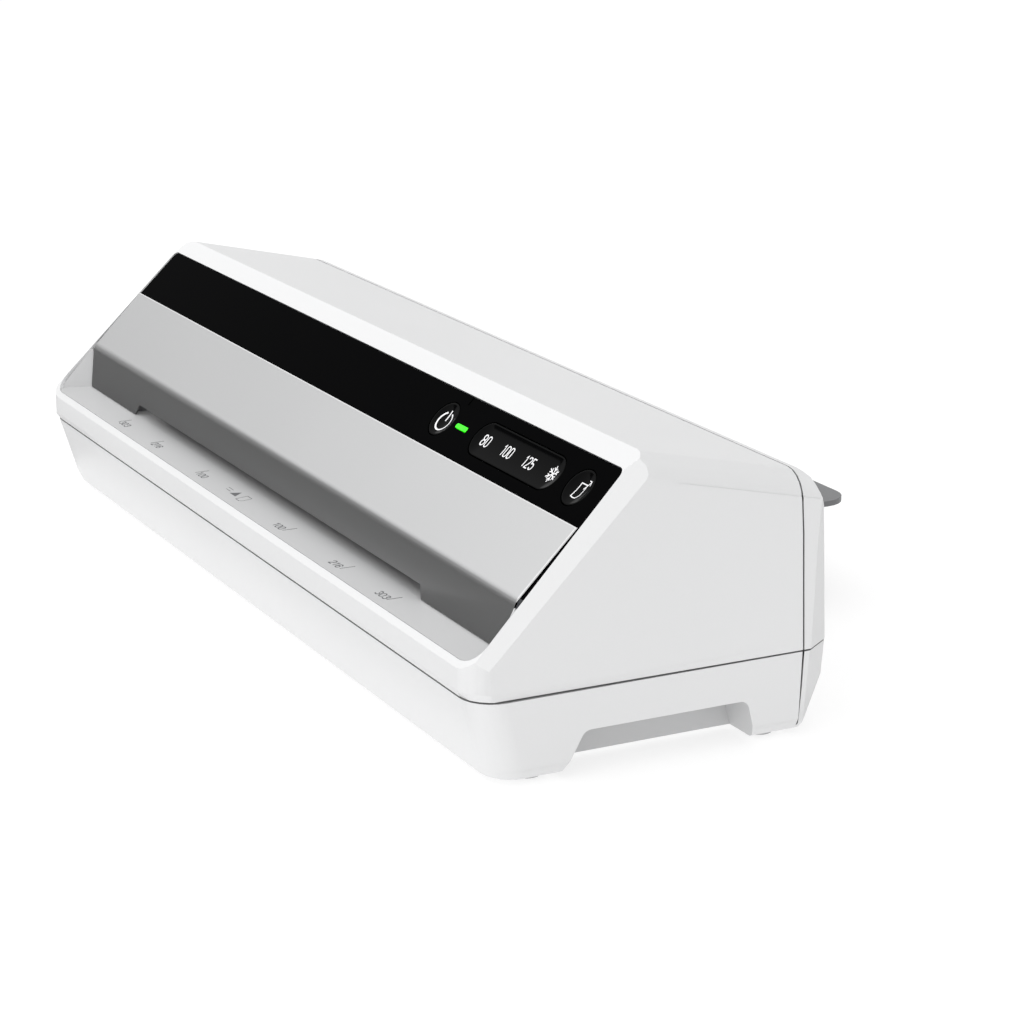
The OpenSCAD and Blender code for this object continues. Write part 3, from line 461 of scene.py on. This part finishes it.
def painted_highlight_rim(bm):
    """The cut edge of the silver face along the black panel and at its ends is painted with the white plastic as a
    painted highlight.
    """
    up, out = Vector((0, math.cos(ANG), math.sin(ANG))), Vector((0, -math.sin(ANG), math.cos(ANG)))
    for f in bm.faces:
        c = f.calc_center_median() - Vector((0, PY, PZ))
        if 0.25 < f.normal.dot(out) < 0.97 and (f.normal.dot(up) > 0.25 or abs(f.normal.x) > 0.25) and c.dot(up) > -0.0335:
            f.material_index = 2


def hold_faces(bm):
    """Walls and roof of the hand holds, given the darker recess white as painted shade."""
    for f in bm.faces:
        c = f.calc_center_median()
        if f.material_index == 0 and 0.2170 < abs(c.x) < 0.2381 and 0.0335 - YM < c.y < 0.1172 - YM and c.z < 0.0186 and (abs(f.normal.x) < 0.35 or abs(abs(c.x) - 0.2175) < 2e-4):
            f.material_index = 2


def meet_rim(bm):
    """The shelf runs up to the rim of the window."""
    for v in bm.verts:
        if v.co.y < 0.0016 - YM:
            v.co.y -= 0.00026
        if abs(v.co.x) > 0.2285:
            v.co.x += math.copysign(0.00026, v.co.x)


def stadium(name, x0, x1, cv, profile, material, body, node, arcs=40):
    """A key: rings at distance d from the line x0..x1 at height h out of the panel, closed at both ends."""
    bm = bmesh.new()
    rings = []
    for d, h in profile:
        ring = []
        for cx, a0 in ((x1, -90), (x0, 90)):
            n_ = arcs // 2
            for i in range(n_ + (1 if x1 > x0 else 0)):
                a = rad(a0 + 180 * i / n_)
                ring.append(bm.verts.new(panel_pt(cx + d * math.cos(a), cv + d * math.sin(a), h)))
        rings.append(ring)
    for a, b in zip(rings, rings[1:]):
        n_ = len(a)
        for i in range(n_):
            bm.faces.new((a[i], b[i], b[(i + 1) % n_], a[(i + 1) % n_]))
    bm.faces.new(rings[0])
    bm.faces.new(rings[-1][::-1])
    bmesh.ops.recalc_face_normals(bm, faces=bm.faces)
    ob = mesh_object(name, bm, material, 50)
    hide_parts(node)
    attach(ob, body)
    return ob


P = {}
P["upper"] = replace_node("upper_housing", M["white"], "housing", shell(0.0007), gap=in_gap, before=tuck, after=window_wall)
P["lower"] = replace_node("lower_housing", M["white"], "housing", shell(0.0006, 30), gap=in_gap, after=hold_faces)
P["rup"] = replace_node("rear_upper_cover", M["white"], "housing", shell(0.0006), gap=in_gap)
P["rlo"] = replace_node("rear_lower_cover", M["white"], "housing", shell(0.0006), gap=in_gap)
P["shelf"] = replace_node("entry_shelf", M["shelf"], "housing", [(0.0003, 2, lambda e, a: a > 30 and e.is_convex)], before=meet_rim)
P["shelf"].visible_glossy = False     # the silver face above it mirrors the dark card, not the shelf
P["upper"].visible_glossy = False
P["fascia"] = replace_node("silver_fascia", M["silver"], "housing", [
    (0.00015, 2, lambda e, a: a > 40 and e.is_convex)],
    gap=lambda f: abs(f.normal.x) > 0.95, before=trim_ends, after=painted_highlight_rim)
# the silver face's cut ends are painted black: painted shade for the gap beside them
P["fascia"].data.materials[1] = M["black"]
# the rim faces take the white plastic: a painted highlight line
P["fascia"].data.materials[2] = M["white"]
round_corners(P["upper"])
P["panel"] = replace_node("control_panel", M["black"], "housing", [(0.00025, 2, lambda e, a: a > 40 and e.is_convex)])
P["tray"] = replace_node("exit_tray", M["tray"], "tray", [(0.0005, 3, lambda e, a: a > 40 and e.is_convex)])


def key_profile(r):
    pr = [(0.04, -1.85)] + [(d * 0.5, 20.5 - math.sqrt(22.35 ** 2 - (d * 0.5) ** 2)) for d in range(1, 15)]
    pr += [(7.22, -0.655), (7.36, -0.615), (7.5, -0.6), (r - 0.32, -0.6), (r - 0.16, -0.63), (r - 0.05, -0.73), (r, -0.88)]
    pr += [(r, -2.95), (r + 1.05, -2.95), (r + 1.15, -3.05), (r + 1.15, -3.6)]
    return pr


P["power_button"] = stadium("power_key_cap", 98.5, 98.5, 13.7, key_profile(8.15), M["blackkey"], "power_key", "power_button", 72)
P["release_button"] = stadium("release_key_cap", 211.8, 211.8, 13.7, key_profile(8.15), M["blackkey"], "release_key", "release_button", 72)
P["mode_button"] = stadium("mode_key_cap", 134.5, 188.7, 13.7, key_profile(7.95), M["blackkey"], "mode_key", "mode_button", 64)
P["light"] = replace_node("status_light", M["light"], "housing", [
    (0.0009, 4, lambda e, a: a > 60 and abs((e.verts[0].co - e.verts[1].co).normalized().dot(Vector((0, -math.sin(ANG), math.cos(ANG))))) > 0.9),
    (0.0002, 2, lambda e, a: a > 50 and e.is_convex)])

# the roller springs (which shorten as the rollers rise) are rebuilt here as fixed meshes of their own on the housing
for n, j in (("hot_springs", "upper_hot_float"), ("exit_springs", "upper_exit_float")):
    sp = replace_node(n, M["spring"], "housing", [])
    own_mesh(sp)

# ------------------------------------------------------------------ printed marks (thin raised ink)
def dish(d):
    return 20.5 - math.sqrt(22.35 ** 2 - min(d, 8.2) ** 2)


def key_h(cx0, cx1, cv):
    def h(x, v):
        px = min(max(x, cx0), cx1)
        return dish(math.hypot(x - px, v - cv))
    return h


def shelf_pt(x, y, h):
    return Vector((x / 1000, y / 1000 - YM, LZ + (0.2 + (y - 0.2) * 1.1 / 15.3 + h) / 1000))


def strip(bm, pts, width, place, hf, closed=False, top=0.05, depth=0.12, taper=False):
    """A ribbon of ink along pts (millimetres), following the surface hf, closed on every side."""
    n = len(pts)
    rows = []
    for i, p in enumerate(pts):
        a = pts[(i - 1) % n] if (closed or i > 0) else pts[i]
        b = pts[(i + 1) % n] if (closed or i < n - 1) else pts[i]
        u1 = Vector((p[0] - a[0], p[1] - a[1]))
        u2 = Vector((b[0] - p[0], b[1] - p[1]))
        u1 = u1.normalized() if u1.length > 1e-9 else u2.normalized()
        u2 = u2.normalized() if u2.length > 1e-9 else u1
        t = (u1 + u2)
        t = t.normalized() if t.length > 1e-6 else u1
        nrm = Vector((-t.y, t.x))
        k = min(1.6, 1 / max(0.4, nrm.dot(Vector((-u1.y, u1.x)))))
        row = []
        for side in (1, -1):
            q = Vector(p) + nrm * side * width / 2 * k
            h = hf(q.x, q.y)
            row += [bm.verts.new(place(q.x, q.y, h + top)), bm.verts.new(place(q.x, q.y, h + top - depth))]
        rows.append(row)
    m = n if closed else n - 1
    for i in range(m):
        a, b = rows[i], rows[(i + 1) % n]
        for q in ((a[0], b[0], b[2], a[2]), (a[3], b[3], b[1], a[1]), (a[1], b[1], b[0], a[0]), (a[2], b[2], b[3], a[3])):
            bm.faces.new(q)
    if not closed:
        a = rows[0]
        bm.faces.new((a[0], a[2], a[3], a[1]))
        a = rows[-1]
        bm.faces.new((a[1], a[3], a[2], a[0]))


def patch(bm, pts, place, hf, top=0.05, depth=0.12):
    up = [bm.verts.new(place(x, y, hf(x, y) + top)) for x, y in pts]
    dn = [bm.verts.new(place(x, y, hf(x, y) + top - depth)) for x, y in pts]
    bm.faces.new(up)
    bm.faces.new(dn[::-1])
    n = len(pts)
    for i in range(n):
        j = (i + 1) % n
        bm.faces.new((up[j], up[i], dn[i], dn[j]))


def seg(a, b, n=4):
    return [(a[0] + (b[0] - a[0]) * i / n, a[1] + (b[1] - a[1]) * i / n) for i in range(n + 1)]


def arc(cx, cy, r, a0, a1, n=24, ry=None):
    ry = ry or r
    return [(cx + r * math.cos(rad(a0 + (a1 - a0) * i / n)), cy + ry * math.sin(rad(a0 + (a1 - a0) * i / n))) for i in range(n + 1)]


def figure(ch, x, y, w, h):
    """Condensed figures as strokes; each is a list of (points, closed)."""
    r = w / 2
    if ch == "0":
        return [(arc(x + r, y + h - r, r, 0, 180, 10) + arc(x + r, y + r, r, 180, 360, 10), True)]
    if ch == "1":
        return [([(x + w * 0.08, y + h * 0.80), (x + w * 0.62, y + h), (x + w * 0.62, y + h * 0.6), (x + w * 0.62, y)], False)]
    if ch == "2":
        return [(arc(x + r, y + h - r, r, 175, -25, 12) + [(x + w * 0.55, y + h * 0.38), (x, y), ], False), ([(x - 0.05, y), (x + w, y)], False)]
    if ch == "3":
        q = h / 4
        return [(arc(x + r, y + h - q, r, 165, -90, 12, q) + arc(x + r, y + q, r, 90, -165, 12, q)[1:], False)]
    if ch == "5":
        q = h * 0.30
        return [([(x + w * 0.95, y + h), (x + w * 0.5, y + h), (x + w * 0.05, y + h), (x + w * 0.05, y + h * 0.55)] + arc(x + r, y + q, r, 120, -160, 14, q), False)]
    if ch == "6":
        q = h * 0.3
        return [(arc(x + r, y + h - r, r, 15, 180, 8) + arc(x + r, y + r, r, 180, 360, 8) + arc(x + r, y + 2 * q - r, r, 0, 170, 8), False)]
    if ch == "8":
        q = h * 0.24
        return [(arc(x + r, y + h - q, r * 0.9, -90, 270, 20, q)[:-1], True), (arc(x + r, y + h * 0.27, r, 90, 450, 20, h * 0.27)[:-1], True)]
    return []


def number(bm, txt, x, y, w, h, gap, width, place, hf, slant=0.0):
    for ch in txt:
        wid = w * (0.72 if ch == "1" else 1.0)
        for pts, closed in figure(ch, x, y, wid, h):
            strip(bm, [(a + (b - y) * slant, b) for a, b in pts], width, place, hf, closed)
        x += wid + gap


def ink(name, bm, material, body):
    bmesh.ops.recalc_face_normals(bm, faces=bm.faces)
    ob = mesh_object(name, bm, material, 40)
    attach(ob, body)
    return ob


# standby symbol
hk = key_h(98.5, 98.5, 13.7)
bm = bmesh.new()
strip(bm, arc(98.2, 13.0, 4.35, 66, -246, 44), 0.72, panel_pt, hk)
strip(bm, seg((98.15, 13.4), (98.55, 18.4), 8), 0.72, panel_pt, hk)
ink("standby_symbol", bm, M["ink_white"], "power_key")

# film thickness figures and the cold symbol
hp = key_h(134.5, 188.7, 13.7)
bm = bmesh.new()
number(bm, "80", 131.8, 11.3, 2.2, 4.8, 0.95, 0.5, panel_pt, hp)
number(bm, "100", 148.9, 11.3, 2.1, 4.8, 0.9, 0.5, panel_pt, hp)
number(bm, "125", 167.0, 11.3, 2.1, 4.8, 0.9, 0.5, panel_pt, hp)
sx, sv, sr = 189.4, 13.9, 3.75
for k in range(6):
    a = rad(90 + 60 * k)
    u, w_ = (math.cos(a), math.sin(a)), (-math.sin(a), math.cos(a))
    strip(bm, seg((sx + u[0] * 0.2, sv + u[1] * 0.2), (sx + u[0] * sr, sv + u[1] * sr), 5), 0.5, panel_pt, hp)
    for s_ in (1, -1):
        b0 = (sx + u[0] * 1.7, sv + u[1] * 1.7)
        b1 = (sx + u[0] * 2.8 + w_[0] * s_ * 1.1, sv + u[1] * 2.8 + w_[1] * s_ * 1.1)
        strip(bm, seg(b0, b1, 2), 0.42, panel_pt, hp)
ink("film_figures", bm, M["ink_white"], "mode_key")

# release symbol: a sheet and an arrow
hr = key_h(211.8, 211.8, 13.7)
bm = bmesh.new()
out = [(209.7, 9.8), (210.1, 16.2), (214.4, 16.2), (214.1, 11.2), (213.0, 9.7), (211.4, 9.5)]
pts = []
for i in range(len(out)):
    pts += seg(out[i], out[(i + 1) % len(out)], 4)[:-1]
strip(bm, pts, 0.42, panel_pt, hr, closed=True)
strip(bm, seg((213.2, 14.2), (215.9, 17.7), 4), 0.42, panel_pt, hr)
strip(bm, [(214.3, 18.1), (216.1, 17.9), (216.4, 16.2)], 0.42, panel_pt, hr)
ink("release_symbol", bm, M["ink_white"], "release_key")

# width marks on the shelf
flat = lambda x, y: 0.0
bm = bmesh.new()
for x, label in ((-154, "303"), (-110, "216"), (-52.7, "100"), (47.6, "100"), (106.5, "216"), (150.9, "303")):
    strip(bm, seg((x, 4.9), (x + 1.5, 10.9), 3), 0.5, shelf_pt, flat, top=0.03, depth=0.08)
    wl = 3 * 2.3 + 2 * 1.0
    number(bm, label, x + 1.8 if x < 0 else x - wl - 1.1, 4.3, 2.3, 3.2, 1.0, 0.5, shelf_pt, flat)
# feed mark: two short rules, an arrow head and a sheet
strip(bm, seg((-22.6, 9.0), (-17.4, 9.0)), 0.3, shelf_pt, flat, top=0.03, depth=0.08)
strip(bm, seg((-21.4, 7.3), (-16.6, 7.3)), 0.3, shelf_pt, flat, top=0.03, depth=0.08)
patch(bm, [(-14.6, 6.2), (-8.4, 6.2), (-11.5, 10.6)], shelf_pt, flat, 0.03, 0.08)
shp = [(-5.2, 5.2), (-1.6, 5.2), (-0.4, 6.6), (-0.4, 10.8), (-5.2, 10.8)]
pts = []
for i in range(len(shp)):
    pts += seg(shp[i], shp[(i + 1) % len(shp)], 2)[:-1]
strip(bm, pts, 0.32, shelf_pt, flat, closed=True, top=0.03, depth=0.08)
ink("shelf_marks", bm, M["ink_grey"], "housing")

# ------------------------------------------------------------------ floor, light, camera
bm = bmesh.new()
R = 6.0
bm.faces.new([bm.verts.new((x, y, -0.0002)) for x, y in ((-R, -R), (R, -R), (R, R), (-R, R))])
bmesh.ops.subdivide_edges(bm, edges=bm.edges, cuts=6, use_grid_fill=True)
m, nt, b = new_mat("studio_floor")
v = coords(nt)
n = noise(nt, 4, 3, 0.5, v)
nt.links.new(ramp(nt, n.outputs["Fac"], [(0.2, (0.34, 0.34, 0.34)), (0.8, (0.36, 0.36, 0.36))]), b.inputs["Base Color"])
b.inputs["Roughness"].default_value = 0.8
b.inputs["Specular IOR Level"].default_value = 0.1
b.inputs["Emission Color"].default_value = (1, 1, 1, 1)
b.inputs["Emission Strength"].default_value = 0.69
m.cycles.emission_sampling = "NONE"
floor = mesh_object("studio_floor", bm, m)

# studio light: one soft dome, brightest overhead, brighter towards the front and the machine's right, dim at the horizon behind
world = bpy.data.worlds.new("studio")
world.use_nodes = True
world.cycles.sampling_method = "NONE"
bpy.context.scene.world = world
wn = world.node_tree
bg = wn.nodes["Background"]
bg.inputs["Color"].default_value = (1, 1, 1, 1)
tc = wn.nodes.new("ShaderNodeTexCoord")
dt = wn.nodes.new("ShaderNodeVectorMath")
dt.operation = "DOT_PRODUCT"
dt.inputs[1].default_value = (0.14, -0.68, 1.20)
wn.links.new(tc.outputs["Generated"], dt.inputs[0])
ad = wn.nodes.new("ShaderNodeMath")
ad.operation = "ADD"
ad.inputs[1].default_value = 0.244
wn.links.new(dt.outputs["Value"], ad.inputs[0])
mx = wn.nodes.new("ShaderNodeMath")
mx.operation = "MAXIMUM"
mx.inputs[1].default_value = 0.05
wn.links.new(ad.outputs[0], mx.inputs[0])
wn.links.new(mx.outputs[0], bg.inputs["Strength"])


def area(name, loc, target, size, power, spread=180):
    ld = bpy.data.lights.new(name, "AREA")
    ld.shape = "RECTANGLE"
    ld.size, ld.size_y = size
    ld.energy = power
    ld.spread = rad(spread)
    ob = bpy.data.objects.new(name, ld)
    bpy.context.scene.collection.objects.link(ob)
    ob.location = loc
    ob.rotation_euler = (Vector(target) - Vector(loc)).to_track_quat("-Z", "Y").to_euler()
    ob.visible_camera = False
    return ob


area("top_softbox", (-0.2, -0.5, 1.9), (0, 0, 0.05), (1.6, 1.6), 1.2)
area("back_softbox", (-1.9, 1.0, 0.65), (0, 0, 0.08), (2.2, 1.0), 6)

# dark cards seen only in reflections: one low on the front left, one lying on the floor to the front and left, and one
# just under the shelf, a painted dark reflection in the silver face above it
def card(name, corners, glow=0.0):
    bm = bmesh.new()
    bm.faces.new([bm.verts.new(c) for c in corners])
    m, nt, b = new_mat(name)
    b.inputs["Base Color"].default_value = (0.01, 0.01, 0.01, 1)
    b.inputs["Roughness"].default_value = 0.9
    b.inputs["Specular IOR Level"].default_value = 0.0
    b.inputs["Emission Color"].default_value = (1, 1, 1, 1)
    b.inputs["Emission Strength"].default_value = glow
    ob = mesh_object(name, bm, m)
    ob.visible_camera = False
    ob.visible_diffuse = False
    ob.visible_shadow = False
    ob.visible_transmission = False
    return ob


card("studio_flag", ((-1.28, -0.56, 0.0), (-0.6, -1.7, 0.0), (-0.6, -1.7, 0.50), (-1.28, -0.56, 0.50)), glow=0.036)
card("shelf_dark_reflection_card", (shelf_pt(-226, 0.4, -0.35), shelf_pt(226, 0.4, -0.35), shelf_pt(226, 17.0, -0.35), shelf_pt(-226, 17.0, -0.35)), glow=0.036)
card("studio_floor_flag", ((-5.5, 3.0, 0.0005), (-0.27, 0.12, 0.0005), (-0.25, -0.135, 0.0005), (0.22, -0.135, 0.0005), (0.45, -0.8, 0.0005), (-0.3, -5.5, 0.0005), (-5.5, -5.5, 0.0005)), glow=0.036)

cam_d = bpy.data.cameras.new("camera")
cam_d.lens = 99.29
cam_d.sensor_width = 36
cam_d.clip_start = 0.01
cam = bpy.data.objects.new("camera", cam_d)
bpy.context.scene.collection.objects.link(cam)
az, el = rad(63.0), rad(16.292)
back = Vector((math.sin(az) * math.cos(el), -math.cos(az) * math.cos(el), math.sin(el)))
cam.location = (1.0853, -0.5395, 0.3832)
cam.rotation_euler = back.to_track_quat("Z", "Y").to_euler()
bpy.context.scene.camera = cam
vs_ = bpy.context.scene.view_settings
vs_.view_transform = "Standard"
vs_.look = "None"
vs_.exposure = 0.0
vs_.gamma = 1.0
